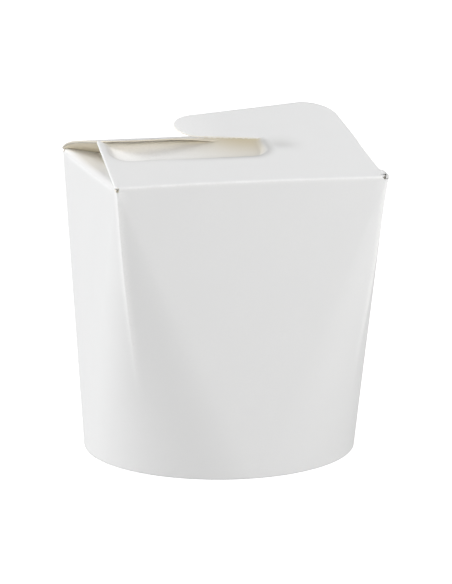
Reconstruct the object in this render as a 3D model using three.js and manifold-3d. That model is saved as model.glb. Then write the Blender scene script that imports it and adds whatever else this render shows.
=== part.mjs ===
// Noodle takeaway box of white paperboard: round at the foot, square at the top, shut by two hooked flaps.
// Millimetres, +Z up. The origin is the middle of the foot ring, on the surface that the box stands on.
// The front of the box faces -Y. The box is shut and can't be seen into, so its body is solid.

import * as THREE from 'three';
import { mergeVertices } from 'three/addons/utils/BufferGeometryUtils.js';
import Module from 'manifold-3d';

// Body
const BASE_RADIUS = 47;
const TOP_WIDTH = 90.8;
const TOP_DEPTH = 89.2;
const CREASE_HEIGHT = 99;
const BOARD = 0.5;

// Upright score down each corner, a sharp fold at the top that fades out above the foot
const SCORE_BULGE = 0.13;
const SCORE_FALLOFF = 3;
const SCORE_END = 0.8;

// Foot: a ring of folded board around a recess that holds the separate base disc
const FOOT_RING = 1.6;
const RECESS_DEPTH = 4.5;
const PIECE_GAP = 0.3;

// Closing flap, drawn flat: v runs across it, s runs from its crease to its far edge
const FLAP_TAPER = 0.0009;
const SIDE_REACH = 52.2;
const FAR_CORNER = 10.4;
const FAR_SLOPE = 0.178;
const TIP_V = -7.5;
const TIP_S = 46.2;
const TIP_RADIUS = 8.7;
const SLIT_END_V = 12.7;
const SLIT_END_S = 34.2;
const SLIT_LEFT_S = 37;

// Curved score beside the slit, where the flap is pressed down so that the other flap's hook passes over it
const DENT_LEFT = -44;
const DENT_RIGHT = SLIT_END_V;
const DENT_NEAR = 19.9;
const DENT_CORNER = 7.8;
const DENT_ROLL = 4;
const DENT_DEPTH = 1.7;

// How the flaps stand: the front one is straight, the back one is bent at its crease and arched
const FRONT_RISE = THREE.MathUtils.degToRad(16);
const BACK_LEAN = 0.985;
const BACK_BEND = 2;
const BACK_BEND_LENGTH = 5.2;
const BACK_RISE = 0.17;
const BACK_ARCH = 0.00038;
const HOOK_SAG = 1.8;
const HOOK_SAG_START = -21;
const HOOK_SAG_END = 16;
const HOOK_SAG_NEAR = 32;
const HOOK_SAG_FAR = 46;

// The webs under the flaps reach past the middle, and a core under the hooks joins them
const WEB_PAST_MIDDLE = 9.8;
const CORE_WIDTH = 29;
const CORE_DEPTH = 26;
const CORE_RISE = 6;

// Die-cut relief hole where the creases meet at each top corner
const CORNER_HOLE = 1.3;

// Mesh steps
const ARC_STEPS = 24;
const WALL_STEPS = 8;
const FLAP_COLUMNS = 12;
const FLAP_ROWS = 14;
const HOOK_ROWS = 6;
const WEB_STEPS = 20;
const DISC_STEPS = 96;
const SMALLEST_DETAIL = 0.03;
const SLIVER_HEIGHT = 0.004;
const SLIVER_ROUNDS = 10;

const HALF_WIDTH = TOP_WIDTH / 2;
const HALF_DEPTH = TOP_DEPTH / 2;
const EMBED = 3;

const { lerp, smoothstep } = THREE.MathUtils;

const wasm = await Module();
wasm.setup();

// Steps from a to b, closer together near b or near a, for ends that are rounded
function spacedSteps(a, b, count, closeTo) {
  const steps = [];
  for (let i = 0; i <= count; i += 1) {
    const t = i / count;
    const eased = {
      none: t,
      start: 1 - Math.cos((t * Math.PI) / 2),
      end: Math.sin((t * Math.PI) / 2),
    }[closeTo];
    steps.push(lerp(a, b, eased));
  }
  return steps;
}

function indexedGeometry(points, triangles) {
  const geometry = new THREE.BufferGeometry();
  geometry.setAttribute('position', new THREE.Float32BufferAttribute(points.flat(), 3));
  geometry.setIndex(triangles.flat());
  return geometry;
}

// Corner numbers of a merged mesh without the triangles that merging has flattened
function soundTriangles(corners) {
  const triangles = [];
  for (let i = 0; i < corners.length; i += 3) {
    const [a, b, c] = [corners[i], corners[i + 1], corners[i + 2]];
    if (a !== b && b !== c && c !== a) {
      triangles.push(a, b, c);
    }
  }
  return triangles;
}

// Makes the two ends of each very short edge one corner
function withoutShortEdges(position, corners) {
  const standsFor = Array.from({ length: position.count }, (_, i) => i);
  const find = (i) => (standsFor[i] === i ? i : find(standsFor[i]));
  const at = (i) => new THREE.Vector3().fromBufferAttribute(position, i);
  for (let i = 0; i < corners.length; i += 3) {
    for (let k = 0; k < 3; k += 1) {
      const [a, b] = [find(corners[i + k]), find(corners[i + ((k + 1) % 3)])];
      if (a !== b && at(a).distanceTo(at(b)) < SMALLEST_DETAIL) {
        standsFor[Math.max(a, b)] = Math.min(a, b);
      }
    }
  }
  return soundTriangles(corners.map(find));
}

// Turns the longest edge of each sliver, so that the corner lying on it becomes the end of two others
function withoutSlivers(position, corners) {
  const triangles = [];
  for (let i = 0; i < corners.length; i += 3) {
    triangles.push(corners.slice(i, i + 3));
  }
  const at = (i) => new THREE.Vector3().fromBufferAttribute(position, i);
  const height = ([a, b, c]) => {
    const along = at(b).sub(at(a));
    return along.clone().cross(at(c).sub(at(a))).length() / along.length();
  };
  const longestFirst = (triangle) => {
    const turns = [0, 1, 2].map((k) => [0, 1, 2].map((j) => triangle[(k + j) % 3]));
    const length = ([a, b]) => at(a).distanceTo(at(b));
    return turns.sort((p, q) => length(q) - length(p))[0];
  };
  const leastHeight = (triangle) => height(longestFirst(triangle));
  const owner = new Map();
  const claim = (index) => {
    const [a, b, c] = triangles[index];
    for (const [from, to] of [[a, b], [b, c], [c, a]]) {
      owner.set(`${from} ${to}`, index);
    }
  };
  triangles.forEach((_, index) => claim(index));
  for (let round = 0; round < SLIVER_ROUNDS; round += 1) {
    triangles.forEach((triangle, index) => {
      const [a, b, c] = longestFirst(triangle);
      const other = owner.get(`${b} ${a}`);
      if (height([a, b, c]) > SLIVER_HEIGHT || other === undefined) {
        return;
      }
      const d = triangles[other].find((corner) => corner !== a && corner !== b);
      const turned = [[a, d, c], [d, b, c]];
      const better = Math.min(...turned.map(leastHeight)) > height([a, b, c]);
      if (!better || owner.has(`${c} ${d}`) || owner.has(`${d} ${c}`)) {
        return;
      }
      owner.delete(`${a} ${b}`);
      owner.delete(`${b} ${a}`);
      [triangles[index], triangles[other]] = turned;
      claim(index);
      claim(other);
    });
  }
  return triangles.flat();
}

function solidOf(geometry) {
  const bare = geometry.clone();
  bare.deleteAttribute('normal');
  bare.deleteAttribute('uv');
  const merged = mergeVertices(bare, 1e-4);
  return new wasm.Manifold(new wasm.Mesh({
    numProp: 3,
    vertProperties: new Float32Array(merged.attributes.position.array),
    triVerts: new Uint32Array(soundTriangles(merged.index.array)),
  }));
}

// Mesh of a joined solid, cleared of the short edges and slivers that joining leaves
function geometryOf(solid) {
  const mesh = solid.getMesh();
  const geometry = new THREE.BufferGeometry();
  geometry.setAttribute('position', new THREE.BufferAttribute(new Float32Array(mesh.vertProperties), 3));
  const whole = withoutShortEdges(geometry.attributes.position, Array.from(mesh.triVerts));
  geometry.setIndex(withoutSlivers(geometry.attributes.position, whole));
  geometry.computeVertexNormals();
  return geometry;
}

// Skin over rings of points, one above the other, with a flat cap on the first and the last
function loft(rings) {
  const size = rings[0].length;
  const points = rings.flat();
  const triangles = [];
  for (let k = 0; k + 1 < rings.length; k += 1) {
    for (let i = 0; i < size; i += 1) {
      const next = (i + 1) % size;
      const [a, b] = [k * size + i, k * size + next];
      triangles.push([a, b, b + size], [a, b + size, a + size]);
    }
  }
  for (const [k, turned] of [[0, true], [rings.length - 1, false]]) {
    const middle = [0, 1, 2].map((axis) => rings[k].reduce((sum, p) => sum + p[axis], 0) / size);
    const centre = points.push(middle) - 1;
    for (let i = 0; i < size; i += 1) {
      const [a, b] = [k * size + i, k * size + ((i + 1) % size)];
      triangles.push(turned ? [centre, b, a] : [centre, a, b]);
    }
  }
  return solidOf(indexedGeometry(points, triangles));
}

// One horizontal ring of the wall: t is 0 at the square top and 1 at the round foot
function wallRing(t) {
  const ring = [];
  const radius = BASE_RADIUS * t;
  const bulge = SCORE_BULGE * (1 - smoothstep(t, 0, SCORE_END));
  for (let corner = 0; corner < 4; corner += 1) {
    const signX = corner === 0 || corner === 3 ? 1 : -1;
    const signY = corner < 2 ? 1 : -1;
    for (let i = 0; i <= ARC_STEPS; i += 1) {
      const angle = ((corner + i / ARC_STEPS) * Math.PI) / 2;
      const fromScore = Math.abs((2 * i) / ARC_STEPS - 1);
      const reach = radius * (1 + bulge * (1 - fromScore) ** SCORE_FALLOFF);
      const x = signX * HALF_WIDTH * (1 - t) + reach * Math.cos(angle);
      const y = signY * HALF_DEPTH * (1 - t) + reach * Math.sin(angle);
      ring.push([x, y, CREASE_HEIGHT * (1 - t)]);
    }
  }
  return ring;
}

function body() {
  const rings = [];
  for (let k = WALL_STEPS; k >= 0; k -= 1) {
    rings.push(wallRing(k / WALL_STEPS));
  }
  return loft(rings);
}

// Far edge of the flap at v: round tip of the hook, sloping edge, round corner
function farEdge(v) {
  const lean = Math.atan(FAR_SLOPE);
  const tangentV = TIP_V - TIP_RADIUS * Math.sin(lean);
  const tangentS = TIP_S + TIP_RADIUS * Math.cos(lean);
  const line = tangentS + FAR_SLOPE * (v - tangentV);
  if (v < tangentV) {
    return TIP_S + Math.sqrt(Math.max(TIP_RADIUS ** 2 - (v - TIP_V) ** 2, 0));
  }
  const cornerV = HALF_WIDTH - FAR_CORNER;
  if (v > cornerV) {
    const cornerTop = tangentS + FAR_SLOPE * (cornerV - tangentV);
    const rounded = Math.sqrt(Math.max(FAR_CORNER ** 2 - (v - cornerV) ** 2, 0));
    return lerp(SIDE_REACH, cornerTop, rounded / FAR_CORNER);
  }
  return line;
}

// Slit between the hook and the pressed part of the flap, and on to the flap's left edge
function slitEdge(v) {
  const tipNear = TIP_S - TIP_RADIUS;
  if (v > SLIT_END_V) {
    return SLIT_END_S;
  }
  if (v > TIP_V) {
    return lerp(tipNear, SLIT_END_S, (v - TIP_V) / (SLIT_END_V - TIP_V));
  }
  return lerp(SLIT_LEFT_S, tipNear, (v + HALF_WIDTH) / (TIP_V + HALF_WIDTH));
}

function hookNearEdge(v) {
  if (v < TIP_V) {
    return TIP_S - Math.sqrt(Math.max(TIP_RADIUS ** 2 - (v - TIP_V) ** 2, 0));
  }
  return slitEdge(v);
}

// Depth of the pressed part below the flap: 0 outside the curved score, full past the soft roll
function dent(v, s) {
  const side = Math.max(DENT_LEFT - v, v - DENT_RIGHT) + DENT_CORNER;
  const near = DENT_NEAR - s + DENT_CORNER;
  const outside = Math.hypot(Math.max(side, 0), Math.max(near, 0));
  const distance = Math.min(Math.max(side, near), 0) + outside - DENT_CORNER;
  return DENT_DEPTH * smoothstep(-distance, 0, DENT_ROLL);
}

function narrowed(v, s) {
  return v * (1 - FLAP_TAPER * s);
}

function frontPoint(v, s, pressed) {
  return [
    narrowed(v, s),
    -HALF_DEPTH + s * Math.cos(FRONT_RISE),
    CREASE_HEIGHT + s * Math.sin(FRONT_RISE) - pressed,
  ];
}

// The back flap is the same cutting turned half round; its hook sags to pass under the front flap
function backPoint(v, s, pressed) {
  const bend = BACK_BEND * (1 - Math.exp(-s / BACK_BEND_LENGTH));
  const x = -narrowed(v, s);
  const sagAcross = smoothstep(x, HOOK_SAG_START, HOOK_SAG_END);
  const sagAlong = smoothstep(s, HOOK_SAG_NEAR, HOOK_SAG_FAR);
  const sag = HOOK_SAG * sagAcross * sagAlong;
  return [
    x,
    HALF_DEPTH - s * BACK_LEAN,
    CREASE_HEIGHT + bend + BACK_RISE * s - BACK_ARCH * s * s - sag - pressed,
  ];
}

// Closed solid under strips of surface points, between two heights worked out from each point.
// Strips that meet share their points.
function solidUnder(strips, upperHeight, lowerHeight) {
  const points = [];
  const known = new Map();
  const indexOf = (point) => {
    const key = point.map((value) => value.toFixed(4)).join(' ');
    if (!known.has(key)) {
      known.set(key, points.push(point) - 1);
    }
    return known.get(key);
  };
  const triangles = [];
  for (const strip of strips) {
    const indices = strip.map((column) => column.map(indexOf));
    for (let i = 0; i + 1 < indices.length; i += 1) {
      for (let j = 0; j + 1 < indices[i].length; j += 1) {
        const [a, b] = [indices[i][j], indices[i + 1][j]];
        const [c, d] = [indices[i + 1][j + 1], indices[i][j + 1]];
        triangles.push([a, b, c], [a, c, d]);
      }
    }
  }
  const sound = triangles.filter(([a, b, c]) => a !== b && b !== c && c !== a);
  const open = new Map();
  for (const [a, b, c] of sound) {
    for (const [from, to] of [[a, b], [b, c], [c, a]]) {
      if (!open.delete(`${to} ${from}`)) {
        open.set(`${from} ${to}`, [from, to]);
      }
    }
  }
  const count = points.length;
  const under = sound.map(([a, b, c]) => [a + count, c + count, b + count]);
  const rim = [...open.values()].flatMap(([from, to]) => [
    [from, from + count, to + count],
    [from, to + count, to],
  ]);
  const upper = points.map(([x, y, z]) => [x, y, upperHeight(z)]);
  const lower = points.map(([x, y, z]) => [x, y, lowerHeight(z)]);
  return solidOf(indexedGeometry([...upper, ...lower], [...sound, ...under, ...rim]));
}

// A flap's surface in strips: from its crease to the slit, beyond the slit on the right, and the hook
function flapStrips(place) {
  const left = spacedSteps(-HALF_WIDTH, SLIT_END_V, 2 * FLAP_COLUMNS, 'none');
  const right = spacedSteps(SLIT_END_V, HALF_WIDTH, FLAP_COLUMNS, 'end');
  const hook = spacedSteps(TIP_V - TIP_RADIUS, SLIT_END_V, FLAP_COLUMNS, 'start');
  const farColumn = (v, low) => spacedSteps(low, farEdge(v), HOOK_ROWS, 'none').map((s) => place(v, s, 0));
  return {
    near: [...left, ...right.slice(1)].map((v) => (
      spacedSteps(0, slitEdge(v), FLAP_ROWS, 'none').map((s) => place(v, s, dent(v, s)))
    )),
    farRight: right.map((v) => farColumn(v, slitEdge(v))),
    hook: hook.map((v) => farColumn(v, hookNearEdge(v))),
  };
}

function flap(place) {
  const { near, farRight, hook } = flapStrips(place);
  return solidUnder([near, farRight, hook], (z) => z, (z) => z - BOARD);
}

// Height of a flap's side edge above the crease, at a distance from its crease
function edgeRise(place, distance) {
  const lean = place === frontPoint ? Math.cos(FRONT_RISE) : BACK_LEAN;
  return place(HALF_WIDTH, distance / lean, 0)[2] - CREASE_HEIGHT;
}

// Room between the two webs of folded board that run from a flap's side edges down to the gusset folds.
// The gusset folds run inwards at 45 degrees from the corners of the top and meet in the middle.
function webRoom(place, side) {
  const rings = [];
  for (let k = 0; k <= WEB_STEPS; k += 1) {
    const distance = lerp(1, HALF_DEPTH + WEB_PAST_MIDDLE, k / WEB_STEPS);
    const y = side * (HALF_DEPTH - distance);
    const floor = Math.max(HALF_WIDTH - distance, BOARD);
    const edge = narrowed(HALF_WIDTH, distance) - BOARD;
    const rise = CREASE_HEIGHT + edgeRise(place, distance);
    const half = [
      [floor / 2, CREASE_HEIGHT - EMBED],
      [floor, CREASE_HEIGHT],
      [edge, rise],
      [edge, rise + EMBED],
    ];
    const outline = [...half, ...half.map(([x, z]) => [-x, z]).reverse()];
    const ring = outline.map(([x, z]) => [x, y, z]);
    rings.push(side > 0 ? ring.reverse() : ring);
  }
  return loft(rings.reverse());
}

// Everything shut in under a flap between its webs, up to the middle of its board
function filledWebs(place, side) {
  const { near, farRight } = flapStrips(place);
  const under = solidUnder([near, farRight], (z) => z - BOARD / 2, () => CREASE_HEIGHT - EMBED);
  return under.intersect(webRoom(place, side));
}

// Core under the crossed hooks, where the gussets meet
function core() {
  const geometry = new THREE.BoxGeometry(CORE_WIDTH, CORE_DEPTH, EMBED + CORE_RISE);
  geometry.translate(0, 0, CREASE_HEIGHT + (CORE_RISE - EMBED) / 2);
  return solidOf(geometry);
}

function cornerHole(signX, signY) {
  const hole = new THREE.OctahedronGeometry(CORNER_HOLE);
  hole.translate(signX * HALF_WIDTH, signY * HALF_DEPTH, CREASE_HEIGHT);
  return solidOf(hole);
}

function discOf(radius, low, high) {
  const geometry = new THREE.CylinderGeometry(radius, radius, high - low, DISC_STEPS);
  geometry.rotateX(Math.PI / 2);
  geometry.translate(0, 0, (low + high) / 2);
  return solidOf(geometry);
}

// Outer shell alone: air pockets shut in between a flap and what is under it are filled
function withoutPockets(solid) {
  const larger = (a, b) => (b.volume() > a.volume() ? b : a);
  return solid.decompose().reduce(larger);
}

// Wrapped and folded board: body, gussets and both flaps are one piece
function carton() {
  let solid = body().add(core());
  solid = solid.add(filledWebs(frontPoint, -1)).add(filledWebs(backPoint, 1));
  solid = solid.add(flap(frontPoint)).add(flap(backPoint));
  for (const signX of [-1, 1]) {
    for (const signY of [-1, 1]) {
      solid = solid.subtract(cornerHole(signX, signY));
    }
  }
  return withoutPockets(solid.subtract(discOf(BASE_RADIUS - FOOT_RING, -1, RECESS_DEPTH)));
}

// Separate disc of board up in the recess. The foot ring is folded in round its rim.
function baseDisc() {
  const top = RECESS_DEPTH - PIECE_GAP;
  return discOf(BASE_RADIUS - FOOT_RING - PIECE_GAP, top - BOARD, top);
}

const whiteBoard = { color: 0xf4f4f3, roughness: 0.55, metalness: 0 };

function named(name, solid, look) {
  const mesh = new THREE.Mesh(geometryOf(solid), new THREE.MeshStandardMaterial(look));
  mesh.name = name;
  return mesh;
}

const group = new THREE.Group();
group.add(named('carton', carton(), whiteBoard));
group.add(named('base_disc', baseDisc(), whiteBoard));

export default group;
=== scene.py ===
# Looks of a shut noodle takeaway box of white paperboard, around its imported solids.
# Lengths are millimetres, in the frame of the solids. Meshes are made in metres.

import math

import bmesh
import bpy
import numpy as np
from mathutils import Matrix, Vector


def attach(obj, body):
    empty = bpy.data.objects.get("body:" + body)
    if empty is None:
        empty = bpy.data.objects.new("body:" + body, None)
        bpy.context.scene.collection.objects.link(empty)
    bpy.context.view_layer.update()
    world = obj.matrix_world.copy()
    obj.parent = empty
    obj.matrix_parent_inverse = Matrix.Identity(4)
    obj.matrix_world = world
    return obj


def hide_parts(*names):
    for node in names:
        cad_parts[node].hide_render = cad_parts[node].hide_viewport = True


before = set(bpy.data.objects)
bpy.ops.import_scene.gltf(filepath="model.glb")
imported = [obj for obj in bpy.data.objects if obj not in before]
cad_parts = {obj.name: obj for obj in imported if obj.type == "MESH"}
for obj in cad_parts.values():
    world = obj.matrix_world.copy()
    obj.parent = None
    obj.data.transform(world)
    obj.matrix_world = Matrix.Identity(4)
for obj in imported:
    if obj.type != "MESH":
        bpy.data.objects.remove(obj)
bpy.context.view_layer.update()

MM = 0.001

# Panels of the box, in the order in which they follow each other round it
BACK, LEFT, FRONT, RIGHT = range(4)

# Box
BASE_RADIUS = 47.0
HALF_WIDTH = 45.4
HALF_DEPTH = 44.6
CREASE_HEIGHT = 99.0
BOARD = 0.5
SCORE_BULGE = 0.13
SCORE_FALLOFF = 3
SCORE_END = 0.8
FOOT_RING = 1.6
RECESS_DEPTH = 4.5
PIECE_GAP = 0.3

# Die-cut hole at each top corner, and how far the board beside it stops short
CORNER_HOLE = 1.3
CORNER_RELIEF = 0.9
EAR_RELIEF = 0.25
EAR_FLAP_RELIEF = 1.25
BACK_LEFT_RELIEF = 0.3

# Flap, drawn flat: v runs across it, s runs from its crease to its far edge
FLAP_TAPER = 0.0009
SIDE_REACH = 52.2
FAR_CORNER = 10.4
FAR_SLOPE = 0.178
TIP_V = -7.5
TIP_S = 46.2
TIP_RADIUS = 8.7
SLIT_END_V = 12.7
SLIT_END_S = 34.2
SLIT_LEFT_S = 37.0

# Pressed part beside the slit, which rises again towards the slit
DENT_LEFT = -44.0
DENT_RIGHT = SLIT_END_V
DENT_NEAR = 19.9
DENT_CORNER = 7.8
DENT_ROLL = 3.2
DENT_DEPTH = 1.7
DENT_KEPT = (0.45, 0.22)
DENT_KEPT_V = (-25.0, 5.0)
DENT_RECOVERY = 16.0

# Shallow dip that the pull of the other flap's hook leaves at the slit's end
SLIT_DIP = 0.7
SLIT_DIP_V = 19.0
SLIT_DIP_S = 30.5
SLIT_DIP_WIDTH = 5.5
SLIT_DIP_LENGTH = 4.0

# How the flaps stand
FRONT_RISE = math.radians(16)
BACK_LEAN = 0.985
BACK_BEND = 2.0
BACK_BEND_LENGTH = 5.2
BACK_RISE = 0.17
BACK_ARCH = 0.00038
HOOK_SAG = 3.0
HOOK_SAG_X = (-21.0, 16.0)
HOOK_SAG_S = (32.0, 46.0)

# Right edge of the front flap, which is drawn in a little and let go further out
EDGE_DRAWN_IN = 0.5
EDGE_DRAWN_RAMP = 8.0
EDGE_RELEASED = 0.6
EDGE_RELEASE_S = (12.0, 34.0)

# Folds and edges of the board
GUSSET_SLOPE = -0.07
CREASE_HALF = 0.6
SIDE_ROLL = 2.8
SIDE_ROLL_AT_CORNER = 1.8
SIDE_ROLL_RAMP = 12.0
EDGE_FOLD = 0.45
FOOT_EDGE = 0.5
CUT_BEVEL = 0.07

# Unevenness that hand folding leaves: the front and back creases bow up
CREASE_BOW = 0.5
CREASE_BOW_SKEW = 0.35
CREASE_BOW_REACH = 12.0

# Ear: the side fold bulges beside the front right corner
EAR_START = 1.0
EAR_OUT = 1.45
EAR_OUT_AT_FRONT = 0.6
EAR_OUT_LENGTH = 9.0
EAR_UP = 2.1
EAR_UP_START = -4.0
EAR_UP_FULL = 6.0
EAR_UP_END = 24.0
EAR_REACH_UP = 3.0
EAR_REACH_DOWN = 9.0
EAR_KEPT_DOWN = 0.4
EAR_FRONT = 0.35
EAR_FRONT_END = 1.0
EAR_FRONT_COLUMNS = 5


def lerp(a, b, t):
    return a + (b - a) * t


def smoothstep(value, low, high):
    t = np.clip((value - low) / (high - low), 0, 1)
    return t * t * (3 - 2 * t)


def bell(distance, reach):
    """Falls from 1 at no distance to almost 0 at twice the reach."""
    return np.exp(-(distance / reach) ** 2)


def rounded(before, corner, after, share):
    """Point at a share of the way round a fold, from one side through its corner to the other."""
    return (1 - share) ** 2 * before + 2 * share * (1 - share) * corner + share ** 2 * after


# Camera, placed round the point it looks at, and lights

CAMERA_TARGET = Vector((2.517, 0.0, 53.40)) * MM
CAMERA_AZIMUTH = -14.768
CAMERA_ELEVATION = 12.131
CAMERA_DISTANCE = 860.0 * MM
CAMERA_LENS = 153.7
CLIP_START = 0.01
CLIP_END = 50.0
NEAR_LIGHT_DISTANCE = 0.45
NEAR_LIGHT_SIZE = 0.2
NEAR_LIGHT_AIM = Vector((0, 0, 60)) * MM


def direction(azimuth, elevation):
    """Unit vector from the box towards a camera or light, from its angles in degrees."""
    turn, rise = math.radians(azimuth), math.radians(elevation)
    return Vector((math.sin(turn) * math.cos(rise), -math.cos(turn) * math.cos(rise), math.sin(rise)))


def linked_object(name, data):
    thing = bpy.data.objects.new(name, data)
    bpy.context.scene.collection.objects.link(thing)
    return thing


def look_back(thing, towards):
    """Turns a camera or light that stands in a direction so that it looks back at the box."""
    thing.rotation_euler = (-towards).to_track_quat("-Z", "Y").to_euler()


def make_camera():
    data = bpy.data.cameras.new("camera")
    data.lens = CAMERA_LENS
    data.clip_start = CLIP_START
    data.clip_end = CLIP_END
    camera = linked_object("camera", data)
    towards = direction(CAMERA_AZIMUTH, CAMERA_ELEVATION)
    camera.location = CAMERA_TARGET + towards * CAMERA_DISTANCE
    look_back(camera, towards)
    bpy.context.scene.camera = camera


def make_light(name, azimuth, elevation, strength, angle, colour):
    """Distant soft light. angle is how large it looks, in degrees."""
    data = bpy.data.lights.new(name, "SUN")
    data.energy = strength
    data.angle = math.radians(angle)
    data.color = colour
    look_back(linked_object(name, data), direction(azimuth, elevation))


def make_near_light(name, azimuth, elevation, power):
    """Round soft box close by, so that it lights the near side more than the far one."""
    data = bpy.data.lights.new(name, "AREA")
    data.shape = "DISK"
    data.size = NEAR_LIGHT_SIZE
    data.energy = power
    light = linked_object(name, data)
    towards = direction(azimuth, elevation)
    light.location = NEAR_LIGHT_AIM + towards * NEAR_LIGHT_DISTANCE
    look_back(light, towards)
    light.visible_camera = False


# Materials

WHITE = (0.785, 0.785, 0.782)
BASE_WHITE = (0.77, 0.768, 0.755)
CREAM = (0.96, 0.88, 0.71)
EDGE = (0.80, 0.775, 0.715)
# Tints painted on the board: warm painted shade where the flaps pass under each other and on the back
# flap's rims; grey painted shade along scores and folds; a lighter tint for the painted highlight along
# creases and painted light on the gussets and the pressed part, also along the wall's corner scores.
PAINTED_WARM_SHADE = (0.54, 0.475, 0.345)
SHADE = (0.46, 0.455, 0.44)
PAINTED_LIGHT_TINT = (0.88, 0.878, 0.872)

# Structure of paperboard: cloudy formation, fine fibres and slight waves
CLOUD_SCALE = 70
CLOUD_DETAIL = 3
CLOUD_RANGE = (0.3, 0.7)
FIBRE_SCALE = 1500
FIBRE_DETAIL = 4
FIBRE_ROUGHNESS = 0.65
FIBRE_RANGE = (0.35, 0.65)
FIBRE_HEIGHT = 0.00005
FIBRE_STRENGTH = 0.35
WAVE_SCALE = 28
WAVE_DETAIL = 1
WAVE_HEIGHT = 0.0006
WAVE_STRENGTH = 0.25
# How the fibres break up the lighter tint of painted light at folds and on the gussets
FOLD_TINT_RANGE = (0.3, 0.6)
FOLD_TINT_LEAST = 0.5
GLOSS_RANGE = (0.3, 0.7)
GLOSS_SPREAD = (-0.05, 0.06)
BOARD_SPECULAR = 0.35


def new_material(name):
    material = bpy.data.materials.new(name)
    material.use_nodes = True
    tree = material.node_tree
    return material, tree, tree.nodes["Principled BSDF"]


def object_coordinates(tree):
    return tree.nodes.new("ShaderNodeTexCoord").outputs["Object"]


def attribute(tree, name):
    node = tree.nodes.new("ShaderNodeAttribute")
    node.attribute_name = name
    return node.outputs["Fac"]


def noise(tree, coordinates, scale, detail, roughness=0.5):
    node = tree.nodes.new("ShaderNodeTexNoise")
    node.inputs["Scale"].default_value = scale
    node.inputs["Detail"].default_value = detail
    node.inputs["Roughness"].default_value = roughness
    tree.links.new(coordinates, node.inputs["Vector"])
    return node.outputs["Fac"]


def ramp(tree, value, low, high, start, end):
    """Turns the range from low to high into the range from start to end."""
    node = tree.nodes.new("ShaderNodeMapRange")
    node.inputs["From Min"].default_value = low
    node.inputs["From Max"].default_value = high
    node.inputs["To Min"].default_value = start
    node.inputs["To Max"].default_value = end
    tree.links.new(value, node.inputs["Value"])
    return node.outputs["Result"]


def product(tree, first, second):
    node = tree.nodes.new("ShaderNodeMath")
    node.operation = "MULTIPLY"
    tree.links.new(first, node.inputs[0])
    tree.links.new(second, node.inputs[1])
    return node.outputs["Value"]


def set_colour(tree, socket, colour):
    """Gives a socket a fixed colour, or the colour that another node makes."""
    if isinstance(colour, tuple):
        socket.default_value = (*colour, 1)
    else:
        tree.links.new(colour, socket)


def mixed_colour(tree, factor, first, second):
    node = tree.nodes.new("ShaderNodeMix")
    node.data_type = "RGBA"
    set_colour(tree, node.inputs["A"], first)
    set_colour(tree, node.inputs["B"], second)
    tree.links.new(factor, node.inputs["Factor"])
    return node.outputs["Result"]


def bump(tree, height, distance, strength, below=None):
    node = tree.nodes.new("ShaderNodeBump")
    node.inputs["Distance"].default_value = distance
    node.inputs["Strength"].default_value = strength
    tree.links.new(height, node.inputs["Height"])
    if below is not None:
        tree.links.new(below, node.inputs["Normal"])
    return node.outputs["Normal"]


def board_material(name, colour, fold_tint, roughness, grain, stretch=(1, 1, 1)):
    """Paperboard with a lighter tint mixed in where the fold attribute says, which is painted light, and
    with painted warm and grey shade. grain is how much darker its thin places are.
    """
    material, tree, shader = new_material(name)
    mapping = tree.nodes.new("ShaderNodeMapping")
    mapping.inputs["Scale"].default_value = stretch
    tree.links.new(object_coordinates(tree), mapping.inputs["Vector"])
    place = mapping.outputs["Vector"]
    clouds = noise(tree, place, CLOUD_SCALE, CLOUD_DETAIL)
    fibres = noise(tree, place, FIBRE_SCALE, FIBRE_DETAIL, FIBRE_ROUGHNESS)
    waves = noise(tree, place, WAVE_SCALE, WAVE_DETAIL)
    darker = tuple(c * (1 - grain) for c in colour)
    mottled = mixed_colour(tree, ramp(tree, clouds, *CLOUD_RANGE, 0, 1), darker, colour)
    surface = mixed_colour(tree, ramp(tree, fibres, *FIBRE_RANGE, 0, 1), darker, mottled)
    # Painted light: the lighter tint where the fold attribute says, broken up by the fibres
    lightened = product(tree, attribute(tree, "fold"), ramp(tree, fibres, *FOLD_TINT_RANGE, FOLD_TINT_LEAST, 1))
    surface = mixed_colour(tree, lightened, surface, fold_tint)
    # Painted shade: the warm tint where the flaps pass under each other and the grey tint along scores
    # and folds
    for tint_name, tint in (("painted_warm_shade", PAINTED_WARM_SHADE), ("shade", SHADE)):
        surface = mixed_colour(tree, attribute(tree, tint_name), surface, tint)
    tree.links.new(surface, shader.inputs["Base Color"])
    least, most = (roughness + change for change in GLOSS_SPREAD)
    tree.links.new(ramp(tree, fibres, *GLOSS_RANGE, least, most), shader.inputs["Roughness"])
    shader.inputs["Specular IOR Level"].default_value = BOARD_SPECULAR
    wavy = bump(tree, waves, WAVE_HEIGHT, WAVE_STRENGTH)
    fibrous = bump(tree, fibres, FIBRE_HEIGHT, FIBRE_STRENGTH, wavy)
    tree.links.new(fibrous, shader.inputs["Normal"])
    return material


board_white = board_material("board_white", WHITE, PAINTED_LIGHT_TINT, 0.56, 0.018)
board_inside = board_material("board_inside", CREAM, CREAM, 0.7, 0.03)
board_edge = board_material("board_edge", EDGE, EDGE, 0.8, 0.06, (1, 1, 4))
board_base = board_material("board_base", BASE_WHITE, PAINTED_LIGHT_TINT, 0.6, 0.022, (1, 2.5, 1))
CARTON_BOARDS = (board_white, board_inside, board_edge)
BASE_BOARDS = (board_base, board_inside, board_edge)
WHITE_SLOT, INSIDE_SLOT, EDGE_SLOT = range(3)


# Mesh building

MERGE_DISTANCE = 2e-6
LEAST_EDGE = 1e-7


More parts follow.
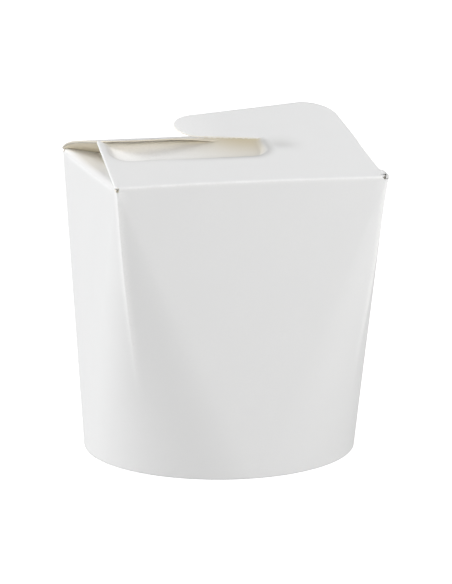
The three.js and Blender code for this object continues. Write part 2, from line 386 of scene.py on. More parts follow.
def make_piece(name, points, faces, slots, tints, node, materials):
    """Points in millimetres, faces as lists of point numbers, one material number for each face,
    and the amount of each tint at each point."""
    mesh = bpy.data.meshes.new(name)
    mesh.from_pydata([tuple(p) for p in np.asarray(points) * MM], [], faces)
    for material in materials:
        mesh.materials.append(material)
    mesh.polygons.foreach_set("material_index", slots)
    for tint_name, amounts in tints.items():
        values = mesh.attributes.new(tint_name, "FLOAT", "POINT")
        values.data.foreach_set("value", np.asarray(amounts, np.float32))
    work = bmesh.new()
    work.from_mesh(mesh)
    bmesh.ops.remove_doubles(work, verts=work.verts, dist=MERGE_DISTANCE)
    bmesh.ops.dissolve_degenerate(work, edges=work.edges, dist=LEAST_EDGE)
    for face in work.faces:
        face.smooth = True
    work.to_mesh(mesh)
    work.free()
    piece = linked_object(name, mesh)
    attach(piece, "root")
    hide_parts(node)


class Sheets:
    """Gathers grids of points into one mesh."""

    def __init__(self):
        self.points = []
        self.faces = []
        self.slots = []
        self.fold = []
        self.shade = []
        self.count = 0

    def add(self, grid, slot=WHITE_SLOT, turned=False, closed=False, fold=0, shade=0):
        """Adds a grid of rows and columns of points. closed joins the last column to the first."""
        rows, columns = grid.shape[:2]
        self.points.append(grid.reshape(-1, 3))
        self.fold.append(np.broadcast_to(fold, (rows, columns)).ravel())
        self.shade.append(np.broadcast_to(shade, (rows, columns)).ravel())
        last = columns if closed else columns - 1
        for r in range(rows - 1):
            for c in range(last):
                a = self.count + r * columns + c
                b = self.count + r * columns + (c + 1) % columns
                d, e = a + columns, b + columns
                self.faces.append([a, d, e, b] if turned else [a, b, e, d])
                self.slots.append(slot)
        self.count += rows * columns

    def piece(self, name, node="carton", slot_name="carton_board", materials=CARTON_BOARDS):
        tints = {"fold": np.concatenate(self.fold), "shade": np.concatenate(self.shade)}
        points = np.concatenate(self.points)
        make_piece(name, points, self.faces, self.slots, tints, node, materials)


def corner_relief(path, relief=CORNER_RELIEF):
    """How far a panel's top or a flap stops short of the corner, where the die-cut hole is."""
    return relief * np.clip(1 - np.abs(path) / CORNER_HOLE, 0, 1)


def uneven(points, with_ear=False):
    """Points of an even box, moved to where hand folding leaves them."""
    points = np.array(points, float)
    x, y, z = points[..., 0], points[..., 1], points[..., 2]
    across = np.clip(1 - (x / HALF_WIDTH) ** 2, 0, 1)
    for sign in (-1, 1):
        distance = np.hypot(y - sign * HALF_DEPTH, z - CREASE_HEIGHT)
        skew = 1 + sign * CREASE_BOW_SKEW * x / HALF_WIDTH
        points[..., 2] += CREASE_BOW * across * skew * bell(distance, CREASE_BOW_REACH)
    if with_ear:
        from_front = y + HALF_DEPTH
        below = np.maximum(CREASE_HEIGHT - z, 0)
        near = bell(HALF_WIDTH - x, EAR_REACH_UP)
        kept = lerp(1, EAR_KEPT_DOWN, smoothstep(below, 0, EAR_REACH_UP))
        low = kept * bell(below, EAR_REACH_DOWN)
        starting = lerp(EAR_OUT_AT_FRONT, 1, smoothstep(from_front, 0, EAR_START))
        out = starting * bell(from_front, EAR_OUT_LENGTH)
        rising = smoothstep(from_front, EAR_UP_START, EAR_UP_FULL)
        falling = smoothstep(from_front, EAR_UP_FULL, EAR_UP_END)
        points[..., 0] += EAR_OUT * out * near * low
        points[..., 2] += EAR_UP * rising * (1 - falling) * near * bell(below, EAR_REACH_UP)
    return points


# Wall

ARC_COLUMNS = 56
ARC_CROWDING = 1.5
FLAT_COLUMNS = 30
WALL_TOP_STEPS = (0, 0.35, 0.7, 1.1, 1.6, 2.2, 3.0, 4.0, 5.5)
WALL_LOWER_START = 0.085
WALL_ROWS = 64
SIDE_FOLD_ROWS = 22
GUSSET_ROWS = 36
# Painted shade on the side fold, painted light on the gusset under the flaps, and a lighter tint along
# the corner scores
SIDE_FOLD_SHADE = 0.22
GUSSET_PAINTED_LIGHT = (SIDE_ROLL, 4 * SIDE_ROLL)
EAR_FRONT_SHADE = 0.35
SCORE_TINT_START = 0.35
SCORE_TINT_WIDTH = 2.2 / 60
FOOT_EDGE_ROWS = 9
RECESS_EDGE = 0.3
RECESS_EDGE_ROWS = 7


def arc_shares():
    """Shares along a corner's arc, closer together at its score in the middle."""
    even = np.linspace(-1, 1, ARC_COLUMNS + 1)
    return 0.5 + 0.5 * np.sign(even) * np.abs(even) ** ARC_CROWDING


def wall_corner(corner, share, t):
    """Point of a corner's cone: share runs along the arc, t is 0 at the square top and 1 at the foot."""
    sign_x = 1 if corner in (BACK, RIGHT) else -1
    sign_y = 1 if corner in (BACK, LEFT) else -1
    angle = (corner + share) * math.pi / 2
    bulge = SCORE_BULGE * (1 - smoothstep(t, 0, SCORE_END))
    from_score = np.abs(2 * share - 1)
    reach = BASE_RADIUS * t * (1 + bulge * (1 - from_score) ** SCORE_FALLOFF)
    x = sign_x * HALF_WIDTH * (1 - t) + reach * np.cos(angle)
    y = sign_y * HALF_DEPTH * (1 - t) + reach * np.sin(angle)
    return np.stack(np.broadcast_arrays(x, y, CREASE_HEIGHT * (1 - t)), axis=-1)


def wall_flat(side, across, t):
    """Point of a flat panel. across runs over it from -1 to 1."""
    start = wall_corner(side, np.array(1.0), t)
    end = wall_corner((side + 1) % 4, np.array(0.0), t)
    return lerp(start, end, (np.asarray(across)[..., None] + 1) / 2)


def side_roll(across):
    """Half length of the soft fold on top of a side panel: tight at its corners and wide in between."""
    from_corner = HALF_DEPTH * (1 - np.abs(across))
    return lerp(SIDE_ROLL_AT_CORNER, SIDE_ROLL, smoothstep(from_corner, 0, SIDE_ROLL_RAMP))


def gusset_point(side, across, inward):
    """Point of the gusset on a side panel's top, which sinks to the folds that meet in the middle."""
    sign = -1 if side == LEFT else 1
    x = sign * (HALF_WIDTH - inward * HALF_WIDTH / HALF_DEPTH)
    y = sign * across * (HALF_DEPTH - inward)
    return np.stack(np.broadcast_arrays(x, y, CREASE_HEIGHT + GUSSET_SLOPE * inward), axis=-1)


def side_top_point(side, across, path):
    """Points of a side panel's top fold. path is below 0 down the wall and above 0 over the gusset."""
    roll = side_roll(across)
    down = np.stack([wall_flat(side, a, r / CREASE_HEIGHT) for a, r in zip(across, roll)])
    over = np.stack([gusset_point(side, a, r) for a, r in zip(across, roll)])
    share = np.clip((path + roll) / (2 * roll), 0, 1)[..., None]
    bend = rounded(down, wall_flat(side, across, 0.0), over, share)
    if path < 0:
        plain = wall_flat(side, across, -path / CREASE_HEIGHT)
    else:
        plain = gusset_point(side, across, path)
    return np.where((np.abs(path) < roll)[..., None], bend, plain)


def ring(t):
    """One horizontal ring of the wall, with its side panels bent in towards their top folds."""
    parts = []
    inner = np.linspace(-1, 1, FLAT_COLUMNS + 1)[1:-1]
    for side in (BACK, LEFT, FRONT, RIGHT):
        parts.append(wall_corner(side, arc_shares(), t))
        if side in (LEFT, RIGHT):
            parts.append(side_top_point(side, inner, -t * CREASE_HEIGHT))
        else:
            parts.append(wall_flat(side, inner, t))
    return np.concatenate(parts)


def ring_score_tint(t):
    """How much lighter the ring is tinted along the scores of its corners, fading towards the foot."""
    from_score = np.abs(2 * arc_shares() - 1)
    lightened = (1 - smoothstep(t, SCORE_TINT_START, SCORE_END)) * bell(from_score * t, SCORE_TINT_WIDTH)
    return np.tile(np.concatenate([lightened, np.zeros(FLAT_COLUMNS - 1)]), 4)


def foot_rows():
    """Rows round the foot: its rounded edge, the ring that it stands on, and the recess."""
    edge = ring(1 - FOOT_EDGE / CREASE_HEIGHT)
    corner = ring(1.0)
    outline = corner * np.array([1, 1, 0])

    def at(radius, z):
        return outline * (radius / BASE_RADIUS) + np.array([0, 0, z])

    rows = []
    for share in np.linspace(0, 1, FOOT_EDGE_ROWS):
        rows.append(rounded(edge, corner, at(BASE_RADIUS - FOOT_EDGE, 0), share))
    inside = BASE_RADIUS - FOOT_RING
    for share in np.linspace(0, 1, RECESS_EDGE_ROWS):
        rows.append(rounded(at(inside + RECESS_EDGE, 0), at(inside, 0), at(inside, RECESS_EDGE), share))
    for radius in (inside, inside / 2, 0):
        rows.append(at(radius, RECESS_DEPTH))
    return rows


def ear_front(side_top, path):
    """Front of the bulged side fold, turned in beside the die-cut hole."""
    outer = np.array([point for point, p in zip(side_top[:, 0], path) if p < EAR_FRONT_END])
    inner = outer.copy()
    inner[:, 0] = HALF_WIDTH - EAR_FRONT
    inner[:, 1] = -HALF_DEPTH
    inner[:, 2] = np.minimum(inner[:, 2], CREASE_HEIGHT)
    shares = np.linspace(0, 1, EAR_FRONT_COLUMNS)
    return np.stack([lerp(outer, inner, share) for share in shares], axis=1)


def make_wall():
    sheets = Sheets()
    near_top = (np.array(WALL_TOP_STEPS) + CORNER_HOLE) / CREASE_HEIGHT
    lower = np.linspace(WALL_LOWER_START, 1 - FOOT_EDGE / CREASE_HEIGHT, WALL_ROWS)
    steps = np.concatenate([near_top, lower])
    wall = uneven(np.array([ring(t) for t in steps]), with_ear=True)
    sheets.add(wall, closed=True, turned=True, fold=np.array([ring_score_tint(t) for t in steps]))
    sheets.add(np.array(foot_rows()), closed=True, turned=True)
    across = np.linspace(-1, 1, FLAT_COLUMNS + 1)
    path = np.concatenate([
        np.linspace(-CORNER_HOLE, SIDE_ROLL, SIDE_FOLD_ROWS),
        np.linspace(SIDE_ROLL, HALF_DEPTH, GUSSET_ROWS)[1:],
    ])
    # Painted light on the gusset, fuller further in under the flaps, and painted shade on its side fold
    painted_gusset_light = smoothstep(path, *GUSSET_PAINTED_LIGHT)[:, None]
    shade = SIDE_FOLD_SHADE * bell(path, SIDE_ROLL)[:, None]
    for side in (LEFT, RIGHT):
        first_relief = EAR_RELIEF if side == RIGHT else BACK_LEFT_RELIEF
        relief = np.where(across < 0, first_relief, CORNER_RELIEF)
        rows = []
        for p in path:
            drawn_in = across * (1 - corner_relief(p, relief) / HALF_DEPTH)
            rows.append(side_top_point(side, drawn_in, p))
        grid = uneven(np.array(rows), with_ear=True)
        sheets.add(grid, fold=painted_gusset_light, shade=shade)
        if side == RIGHT:
            sheets.add(ear_front(grid, path), turned=True, shade=EAR_FRONT_SHADE)
    sheets.piece("carton_wall")


# Outline and shape of a flap

def far_edge(v):
    """How far a flap reaches: round its tip, up its sloping edge and round its far corner."""
    lean = math.atan(FAR_SLOPE)
    tangent_v = TIP_V - TIP_RADIUS * math.sin(lean)
    tangent_s = TIP_S + TIP_RADIUS * math.cos(lean)
    if v < tangent_v:
        return TIP_S + math.sqrt(max(TIP_RADIUS ** 2 - (v - TIP_V) ** 2, 0))
    corner_v = HALF_WIDTH - FAR_CORNER
    if v > corner_v:
        corner_top = tangent_s + FAR_SLOPE * (corner_v - tangent_v)
        share = math.sqrt(max(FAR_CORNER ** 2 - (v - corner_v) ** 2, 0)) / FAR_CORNER
        return lerp(SIDE_REACH, corner_top, share)
    return tangent_s + FAR_SLOPE * (v - tangent_v)


def slit_edge(v):
    """How far the pressed part reaches, to the slit that parts it from the hook."""
    tip_near = TIP_S - TIP_RADIUS
    if v > SLIT_END_V:
        return SLIT_END_S
    if v > TIP_V:
        return lerp(tip_near, SLIT_END_S, (v - TIP_V) / (SLIT_END_V - TIP_V))
    return lerp(SLIT_LEFT_S, tip_near, (v + HALF_WIDTH) / (TIP_V + HALF_WIDTH))


slit_edges = np.vectorize(slit_edge, otypes=[float])


def hook_near_edge(v):
    if v < TIP_V:
        return TIP_S - math.sqrt(max(TIP_RADIUS ** 2 - (v - TIP_V) ** 2, 0))
    return slit_edge(v)


def dent_distance(v, s):
    """Distance from the curved score round the pressed part, below 0 inside it."""
    side = np.maximum(DENT_LEFT - v, v - DENT_RIGHT) + DENT_CORNER
    near = DENT_NEAR - s + DENT_CORNER
    outside = np.hypot(np.maximum(side, 0), np.maximum(near, 0))
    return np.minimum(np.maximum(side, near), 0) + outside - DENT_CORNER


def dent(v, s):
    """How deep the flap is pressed."""
    least = lerp(*DENT_KEPT, smoothstep(v, *DENT_KEPT_V))
    kept = lerp(1, least, smoothstep(s - DENT_NEAR, DENT_ROLL, DENT_RECOVERY))
    return DENT_DEPTH * smoothstep(-dent_distance(v, s), 0, DENT_ROLL) * kept


def narrowed(v, s):
    return v * (1 - FLAP_TAPER * s)


def slit_dip(v, s):
    return bell(np.hypot((v - SLIT_DIP_V) / SLIT_DIP_WIDTH, (s - SLIT_DIP_S) / SLIT_DIP_LENGTH), 1)


def front_point(v, s):
    """Point of the front flap as it stands, before it is pressed."""
    released = EDGE_RELEASED * smoothstep(s, *EDGE_RELEASE_S)
    ramp_in = smoothstep(v, 0, HALF_WIDTH) * smoothstep(s, 0, EDGE_DRAWN_RAMP)
    return np.stack([
        narrowed(v, s) - EDGE_DRAWN_IN * ramp_in * (1 - released),
        -HALF_DEPTH + s * math.cos(FRONT_RISE),
        CREASE_HEIGHT + s * math.sin(FRONT_RISE) - SLIT_DIP * slit_dip(v, s),
    ], axis=-1)


def back_point(v, s):
    """Point of the back flap as it stands, before it is pressed: bent at its crease and arched."""
    x = -narrowed(v, s)
    bend = BACK_BEND * (1 - np.exp(-s / BACK_BEND_LENGTH))
    sag = HOOK_SAG * smoothstep(x, *HOOK_SAG_X) * smoothstep(s, *HOOK_SAG_S)
    z = CREASE_HEIGHT + bend + BACK_RISE * s - BACK_ARCH * s * s - sag
    return np.stack([x, HALF_DEPTH - s * BACK_LEAN, z], axis=-1)


def flap_path(place, side, v, path, pressed):
    """Points of a flap's upper face. path runs along it from the crease, and is below 0 down the wall."""
    v, path = np.broadcast_arrays(np.asarray(v, float), np.asarray(path, float))
    s = np.maximum(path, 0)
    plain = place(v, s)
    if pressed:
        plain[..., 2] -= dent(v, s)
    crease = place(v, 0 * s)
    foot = np.array([0, -BASE_RADIUS if side == FRONT else BASE_RADIUS, 0])
    t = (np.maximum(-path, 0) / CREASE_HEIGHT)[..., None]
    plain = np.where((path < 0)[..., None], lerp(crease, foot, t), plain)
    before = lerp(crease, foot, CREASE_HALF / CREASE_HEIGHT)
    after = place(v, 0 * s + CREASE_HALF)
    share = np.clip((path + CREASE_HALF) / (2 * CREASE_HALF), 0, 1)[..., None]
    bend = rounded(before, crease, after, share)
    return np.where((np.abs(path) < CREASE_HALF)[..., None], bend, plain)


# Painted light and shade on a flap: a painted highlight along its crease, painted light in the left of
# its pressed part, painted warm shade in its pressed part and painted shade along its scores

CREASE_HIGHLIGHT = 0.7
WARM_SHADE_AMOUNT = (0.05, 1.0)
WARMTH_V = (-30.0, 5.0)
WARMTH_INSIDE = (0.3, 1.8)
WARMTH_REACH = 8.0
WARMTH_KEPT = 0.3
RIM_PAINTED_SHADE = 0.6
SCORE_SHADE = (0.15, 0.8)
SCORE_SHADE_START = 5.0
SCORE_SHADE_AT_END = 0.7
SCORE_END_V = (DENT_RIGHT - 5, DENT_RIGHT - 2)
SCORE_FADE_S = (SLIT_END_S - 2, SLIT_END_S + 1)
SCORE_IN = 0.8
SCORE_IN_AT_END = 0.6
SCORE_WIDTH = 2.0
DIP_SHADE = 0.35


def painted_flap_light(v, path):
    """Painted highlight along the crease, and painted light on the left part of the pressed part."""
    left = smoothstep(-dent_distance(v, path), 0, DENT_ROLL) * (1 - smoothstep(v, *WARMTH_V))
    return max(bell(path, CREASE_HIGHLIGHT), left)


def painted_dent_shade(v, path):
    """Painted warm shade and reflected warm light in the pressed part, most beside its slit, where it
    passes under the other flap.
    """
    inside = smoothstep(-dent_distance(v, path), *WARMTH_INSIDE)
    most = lerp(*WARM_SHADE_AMOUNT, smoothstep(v, *WARMTH_V))
    from_slit = max(slit_edge(v) - path, 0)
    return inside * most * lerp(WARMTH_KEPT, 1, bell(from_slit, WARMTH_REACH))


def score_shade(v, path):
    """Shade along the curved score, and in the dip at the slit's end."""
    if path < SCORE_SHADE_START:
        return 0
    at_end = smoothstep(v, *SCORE_END_V)
    most = lerp(lerp(*SCORE_SHADE, smoothstep(v, *WARMTH_V)), SCORE_SHADE_AT_END, at_end)
    inward = lerp(SCORE_IN, SCORE_IN_AT_END, at_end)
    score = most * bell(dent_distance(v, path) + inward, SCORE_WIDTH)
    return max(score * (1 - smoothstep(path, *SCORE_FADE_S)), DIP_SHADE * slit_dip(v, path))


# Flaps

LEFT_COLUMNS = 96
RIGHT_COLUMNS = 44
HOOK_COLUMNS = 44
NEAR_ROWS = 62
FAR_ROWS = 22
CREASE_PATH = (-CORNER_HOLE, -0.9, -0.6, -0.45, -0.3, -0.15, 0, 0.15, 0.3, 0.45, 0.6, 1.0, 1.6)
KEY_DIGITS = 5
UNDER_START = 0.8
RIM_START = 0.3
RIM_STEPS = 6
SIDE_TOLERANCE = 0.25
SIDE_LEAN = 0.97
SIDE_SKEW = 0.2


def spaced(a, b, count, close_to="none"):
    """Steps from a to b, even or closer together at the start or the end."""
    t = np.linspace(0, 1, count + 1)
    eased = {"none": t, "start": 1 - np.cos(t * math.pi / 2), "end": np.sin(t * math.pi / 2)}[close_to]
    return lerp(a, b, eased)


def flap_mesh(place, side):
    """Strips of a flap's upper face that share their border points, as points, quads and tints."""
    points, known, quads, tints = [], {}, [], []
    right_relief = EAR_FLAP_RELIEF if side == FRONT else BACK_LEFT_RELIEF

    def number(point, point_tints):
        key = tuple(np.round(point, KEY_DIGITS))
        if key not in known:
            known[key] = len(points)
            points.append(point)
            tints.append(point_tints)
        return known[key]

    def strip(columns, rows_of, pressed):
        indices = []
        for v in columns:
            rows = rows_of(v)
            reach = HALF_WIDTH - corner_relief(rows, right_relief if v > 0 else CORNER_RELIEF)
            column = uneven(flap_path(place, side, np.clip(v, -reach, reach), rows, pressed))
            # Each point gets its painted highlight or light, painted warm shade and painted shade
            indices.append([
                number(point, (painted_flap_light(v, s), painted_dent_shade(v, s) if pressed else 0, score_shade(v, s)))
                for point, s in zip(column, rows)
            ])
        for near, far in zip(indices, indices[1:]):
            for j in range(len(near) - 1):
                quad = [near[j], far[j], far[j + 1], near[j + 1]]
                distinct = [q for k, q in enumerate(quad) if q != quad[k - 1]]
                if len(distinct) > 2:
                    quads.append(distinct)

    def near_rows(v):
        return np.concatenate([CREASE_PATH, spaced(CREASE_PATH[-1], slit_edge(v), NEAR_ROWS)[1:]])

    left = spaced(-HALF_WIDTH, SLIT_END_V, LEFT_COLUMNS)
    right = spaced(SLIT_END_V, HALF_WIDTH, RIGHT_COLUMNS, "end")
    hook = spaced(TIP_V - TIP_RADIUS, SLIT_END_V, HOOK_COLUMNS, "start")
    strip(np.concatenate([left, right[1:]]), near_rows, True)
    strip(right, lambda v: spaced(slit_edge(v), far_edge(v), FAR_ROWS), True)
    strip(hook, lambda v: spaced(hook_near_edge(v), far_edge(v), FAR_ROWS), False)
    return np.array(points), quads, np.array(tints).T


def border_edges(faces):
    """Directed edges that only one face has."""
    edges = {}
    for face in faces:
        for a, b in zip(face, face[1:] + face[:1]):
            if (b, a) in edges:
                del edges[(b, a)]
            else:
                edges[(a, b)] = True
    return list(edges)


def rim_offsets(is_fold):
    """Outward and downward steps from the upper face round a flap's folded side or cut edge."""
    if is_fold:
        turn = np.linspace(0, math.pi, RIM_STEPS)
        return [(EDGE_FOLD * math.sin(a), EDGE_FOLD * (1 - math.cos(a))) for a in turn]
    half_out, half_down = 0.7 * CUT_BEVEL, 0.3 * CUT_BEVEL
    upper = [(0, 0), (half_out, half_down), (CUT_BEVEL, CUT_BEVEL)]
    return upper + [(out, BOARD - down) for out, down in reversed(upper)]


def on_side(point, from_crease):
    """Whether a border point is on a flap's left or right side."""
    side_x = HALF_WIDTH * (1 - FLAP_TAPER * from_crease / SIDE_LEAN)
    return abs(abs(point[0]) - side_x) < SIDE_TOLERANCE


def make_flap(name, place, side):
    points, quads, (fold, painted_warm_shade, shade) = flap_mesh(place, side)
    count = len(points)
    from_crease = HALF_DEPTH + (points[:, 1] if side == FRONT else -points[:, 1])
    faces = list(quads)
    slots = [WHITE_SLOT] * len(faces)
    for quad in quads:
        if min(from_crease[quad]) > UNDER_START:
            faces.append([p + count for p in reversed(quad)])
            slots.append(INSIDE_SLOT)
    free = [edge for edge in border_edges(quads) if min(from_crease[list(edge)]) > RIM_START]
    following = dict(free)
    previous = {b: a for a, b in free}
    rims, rim_points = {}, []
    for p in {p for edge in free for p in edge}:
        along = (points[following.get(p, p)] - points[previous.get(p, p)])[:2]
        along = along / np.linalg.norm(along)
        outward = np.array([along[1], -along[0], 0])
        is_side = on_side(points[p], from_crease[p])
        rims[p] = (2 * count + len(rim_points), is_side)
        for out, down in rim_offsets(is_side and abs(along[0]) < SIDE_SKEW):
            rim_points.append(points[p] + outward * out - np.array([0, 0, down]))
    for a, b in free:
        start_a, side_a = rims[a]
        start_b, side_b = rims[b]
        for k in range(RIM_STEPS - 1):
            faces.append([start_b + k, start_a + k, start_a + k + 1, start_b + k + 1])
            slots.append(WHITE_SLOT if side_a and side_b else EDGE_SLOT)
    lower = points - np.array([0, 0, BOARD])
    plain = np.zeros(count)
    rim = np.ones(len(rim_points))
    # The back flap's rims get painted warm shade
    tints = {
        "fold": np.concatenate([fold, plain, 0 * rim]),
        "painted_warm_shade": np.concatenate([painted_warm_shade, plain, (RIM_PAINTED_SHADE if side == BACK else 0) * rim]),
        "shade": np.concatenate([shade, plain, 0 * rim]),
    }
    all_points = np.concatenate([points, lower, rim_points])
    make_piece(name, all_points, faces, slots, tints, "carton", CARTON_BOARDS)


# Webs of folded board between the flaps' side edges and the folds round the gussets

WEB_ROWS = 40
WEB_COLUMNS = 24
WEB_START = 0.8
WEB_SHORT_OF_MIDDLE = 0.2
WEB_PAST_MIDDLE = 6.5
WEB_SLIT_GAP = 0.4


def under_flap(points, place, side, lean):
    """Lowers points that would come through the pressed part of a flap."""
    sign = 1 if side == FRONT else -1
    s = (points[:, 1] * sign + HALF_DEPTH) / lean
    v = sign * points[:, 0] / (1 - FLAP_TAPER * s)
    ceiling = place(v, s)[:, 2] - dent(v, s) * (s < slit_edges(v)) - 2 * EDGE_FOLD
    points[:, 2] = np.minimum(points[:, 2], ceiling)
    return points


def make_web(name, place, side, sign_v, slot):
    """Web under a flap's left or right side edge. The left one is cut off obliquely from the slit on."""
    lean = math.cos(FRONT_RISE) if side == FRONT else BACK_LEAN
    sign = 1 if side == FRONT else -1
    slit_distance = (SLIT_LEFT_S - WEB_SLIT_GAP) * lean
    rows = []
    last = HALF_DEPTH + (-WEB_SHORT_OF_MIDDLE if sign_v < 0 else WEB_PAST_MIDDLE)
    for distance in np.linspace(WEB_START, last, WEB_ROWS):
        upper = uneven(place(np.array(sign_v * HALF_WIDTH), np.array(distance / lean)))
        upper = upper - np.array([0, 0, 2 * EDGE_FOLD])
        reach = max(HALF_WIDTH * (1 - distance / HALF_DEPTH), BOARD)
        x = math.copysign(reach, upper[0])
        height = CREASE_HEIGHT + GUSSET_SLOPE * min(distance, HALF_DEPTH)
        lower = np.array([x, sign * (distance - HALF_DEPTH), height])
        if sign_v < 0 and distance > slit_distance:
            cut_away = (distance - slit_distance) / (HALF_DEPTH - slit_distance)
            upper = lerp(upper, lower, cut_away)
        row = lerp(upper, lower, np.linspace(0, 1, WEB_COLUMNS)[:, None])
        rows.append(under_flap(row, place, side, lean))
    sheets = Sheets()
    sheets.add(np.array(rows), slot=slot, turned=sign * sign_v > 0)
    sheets.piece(name)


# Crossed board under the slits, which shuts the top between the two flaps

INNER_REACH = 9.0
INNER_START = 1.5
INNER_GAP = 0.1
INNER_SIDE_GAP = 1.2
INNER_PAST_SLIT = 2.0
INNER_FRONT_V = 33.0
INNER_DROP = 3.2
INNER_DROP_PAST_SLIT = 4.2
INNER_DROP_V = (SLIT_END_V, SLIT_END_V + 3)
INNER_RISE_V = (21.0, 31.0)
INNER_COLUMNS = 60
INNER_ROWS = 8


def make_inner(name, place, last_v):
    """Sheet from under the pressed part of a flap, at its slit, on and down below the other flap."""
    grid = []
    for v in np.linspace(-HALF_WIDTH + INNER_SIDE_GAP, last_v, INNER_COLUMNS):
        start = slit_edge(v) - INNER_START
        past_slit = smoothstep(v, *INNER_DROP_V) * (1 - smoothstep(v, *INNER_RISE_V))
        full_drop = INNER_DROP + INNER_DROP_PAST_SLIT * past_slit
        column = []
        for share in np.linspace(0, 1, INNER_ROWS):
            point = uneven(place(np.array(v), np.array(start + INNER_REACH * share)))
            point[2] -= BOARD + INNER_GAP + dent(v, start) + full_drop * share
            column.append(point)
        grid.append(column)
    sheets = Sheets()
    sheets.add(np.array(grid), slot=INSIDE_SLOT, turned=True)
    sheets.piece(name)


# Board seen through the corner holes

HOLE_BACK_IN = 1.1
HOLE_BACK_HALF = 1.6


def make_hole_backs():
    sheets = Sheets()
    heights = np.linspace(CREASE_HEIGHT - 2 * CORNER_HOLE, CREASE_HEIGHT - BOARD, 3)
    corner = np.array([HALF_WIDTH - HOLE_BACK_IN, HALF_DEPTH - HOLE_BACK_IN, 0])
    for sign_x in (-1, 1):
        for sign_y in (-1, 1):
            middle = corner * np.array([sign_x, sign_y, 0])
            across = np.array([sign_y, -sign_x, 0]) * HOLE_BACK_HALF / math.sqrt(2)
            grid = [[middle + across * c + np.array([0, 0, z]) for c in (-1, 0, 1)] for z in heights]
            sheets.add(np.array(grid), slot=INSIDE_SLOT, turned=sign_x * sign_y > 0)
    sheets.piece("hole_backs")


# Lap of the wrapped board, glued down the back: shares across it, and of the step that it makes

LAP_EDGE_X = -18.0
LAP_WIDTH = 13.0
LAP_STEP = 0.45
LAP_EDGE_PROFILE = ((0, 0), (0.02, 0.75), (0.05, 1))
LAP_TOP_PROFILE = ((0.2, 0.95), (0.4, 0.8), (0.6, 0.5), (0.8, 0.2), (1.0, -0.05))
LAP_FOOT_GAP = 0.6
LAP_ROWS = 60


def back_wall_y(x, t):
    """How far back the wall reaches at a distance across and a share of the way down."""
    corner_x = HALF_WIDTH * (1 - t)
    past = np.maximum(np.abs(x) - corner_x, 0)
    return HALF_DEPTH * (1 - t) + np.sqrt(np.maximum((BASE_RADIUS * t) ** 2 - past ** 2, 0))


def make_lap():
    across, raised = np.array(LAP_EDGE_PROFILE + LAP_TOP_PROFILE).T
    x = LAP_EDGE_X + across * LAP_WIDTH
    rows = []
    for t in np.linspace(CORNER_HOLE / CREASE_HEIGHT, 1 - LAP_FOOT_GAP / CREASE_HEIGHT, LAP_ROWS):
        y = back_wall_y(x, t) + LAP_STEP * raised
        rows.append(np.stack(np.broadcast_arrays(x, y, CREASE_HEIGHT * (1 - t)), axis=-1))
    grid = uneven(np.array(rows))
    edge_columns = len(LAP_EDGE_PROFILE)
    sheets = Sheets()
    sheets.add(grid[:, :edge_columns], slot=EDGE_SLOT, turned=True)
    sheets.add(grid[:, edge_columns - 1:], slot=WHITE_SLOT, turned=True)
    sheets.piece("lap_seam")


# Base disc, lying flat up in the recess

DISC_COLUMNS = 128
DISC_EDGE = 0.12


def make_base_disc():
    radius = BASE_RADIUS - FOOT_RING - PIECE_GAP
    top = RECESS_DEPTH - PIECE_GAP
    under = top - BOARD
    profile = [(0.0, under), (radius * 0.4, under), (radius * 0.8, under), (radius - DISC_EDGE, under)]
    profile += [(radius, under + DISC_EDGE), (radius, top - DISC_EDGE), (radius - DISC_EDGE, top)]
    profile += [(radius * 0.5, top), (0.0, top)]
    turns = np.linspace(0, 2 * math.pi, DISC_COLUMNS, endpoint=False)
    grid = np.array([[(r * math.cos(a), r * math.sin(a), z) for a in turns] for r, z in profile])
    sheets = Sheets()
    sheets.add(grid, closed=True, turned=True)
    sheets.piece("foot_disc", "base_disc", "base_board", BASE_BOARDS)


# Stage: a pale floor and soft even light from all round, which the camera sees as plain white

FLOOR_HALF = 6.0
FLOOR_LEVEL = -0.0001
FLOOR_GLOW = 0.3
FLOOR_SEEN = 1.2
FLOOR_ALBEDO = 0.06
FLOOR_MOTTLE = 1.05
FLOOR_SCALE = 6
FLOOR_DETAIL = 2
WORLD_LIGHT = 0.2
WORLD_SEEN = 1.1


def seen_or_lighting(tree, lighting, seen):
    """Strength of a light source as it lights the box, and as it looks in the picture."""
    rays = tree.nodes.new("ShaderNodeLightPath")
    return ramp(tree, rays.outputs["Is Camera Ray"], 0, 1, lighting, seen)


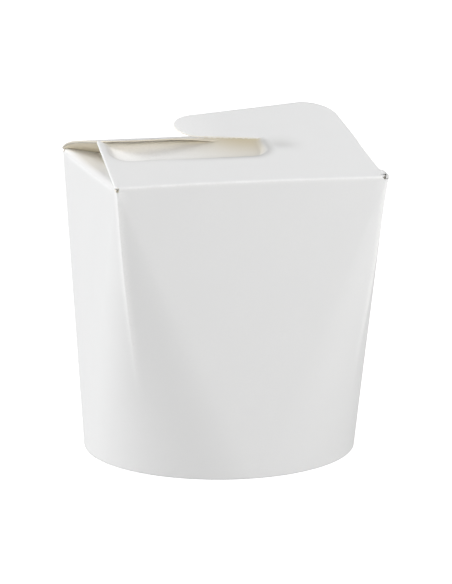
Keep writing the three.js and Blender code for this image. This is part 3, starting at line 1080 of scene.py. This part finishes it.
def make_floor():
    mesh = bpy.data.meshes.new("floor")
    corners = [(x * FLOOR_HALF, y * FLOOR_HALF, 0) for x, y in ((-1, -1), (1, -1), (1, 1), (-1, 1))]
    mesh.from_pydata(corners, [], [(0, 1, 2, 3)])
    material, tree, shader = new_material("floor")
    mottling = noise(tree, object_coordinates(tree), FLOOR_SCALE, FLOOR_DETAIL)
    tint = mixed_colour(tree, mottling, (FLOOR_ALBEDO,) * 3, (FLOOR_ALBEDO * FLOOR_MOTTLE,) * 3)
    tree.links.new(tint, shader.inputs["Base Color"])
    shader.inputs["Roughness"].default_value = 1.0
    shader.inputs["Specular IOR Level"].default_value = 0.0
    shader.inputs["Emission Color"].default_value = (1, 1, 1, 1)
    tree.links.new(seen_or_lighting(tree, FLOOR_GLOW, FLOOR_SEEN), shader.inputs["Emission Strength"])
    mesh.materials.append(material)
    floor = linked_object("floor", mesh)
    floor.location.z = FLOOR_LEVEL


def make_world():
    world = bpy.data.worlds.new("studio")
    bpy.context.scene.world = world
    world.use_nodes = True
    tree = world.node_tree
    background = tree.nodes["Background"]
    background.inputs["Color"].default_value = (1, 1, 1, 1)
    tree.links.new(seen_or_lighting(tree, WORLD_LIGHT, WORLD_SEEN), background.inputs["Strength"])


make_camera()
make_world()
make_floor()
make_light("left_light", -115, 38, 2.85, 40, (0.985, 0.99, 1.0))
make_light("front_left_light", -50, 8, 0.89, 35, (1.0, 1.0, 1.0))
make_light("front_light", -15, 8, 1.25, 35, (1.0, 1.0, 1.0))
make_light("front_right_light", 60, 9, 0.82, 60, (1.0, 1.0, 0.998))
make_light("right_light", 90, 8, 0.65, 35, (1.0, 0.998, 0.992))
make_near_light("right_box", 62, 10, 0.55)

make_wall()
make_flap("flap_front", front_point, FRONT)
make_flap("flap_back", back_point, BACK)
make_web("web_front_left", front_point, FRONT, -1, WHITE_SLOT)
make_web("web_front_right", front_point, FRONT, 1, INSIDE_SLOT)
make_web("web_back_right", back_point, BACK, -1, WHITE_SLOT)
make_web("web_back_left", back_point, BACK, 1, INSIDE_SLOT)
make_hole_backs()
make_inner("inner_front", front_point, INNER_FRONT_V)
make_inner("inner_back", back_point, SLIT_END_V + INNER_PAST_SLIT)
make_lap()
make_base_disc()

scene = bpy.context.scene
scene.view_settings.view_transform = "Standard"
scene.view_settings.look = "None"
scene.view_settings.exposure = 0
scene.view_settings.gamma = 1
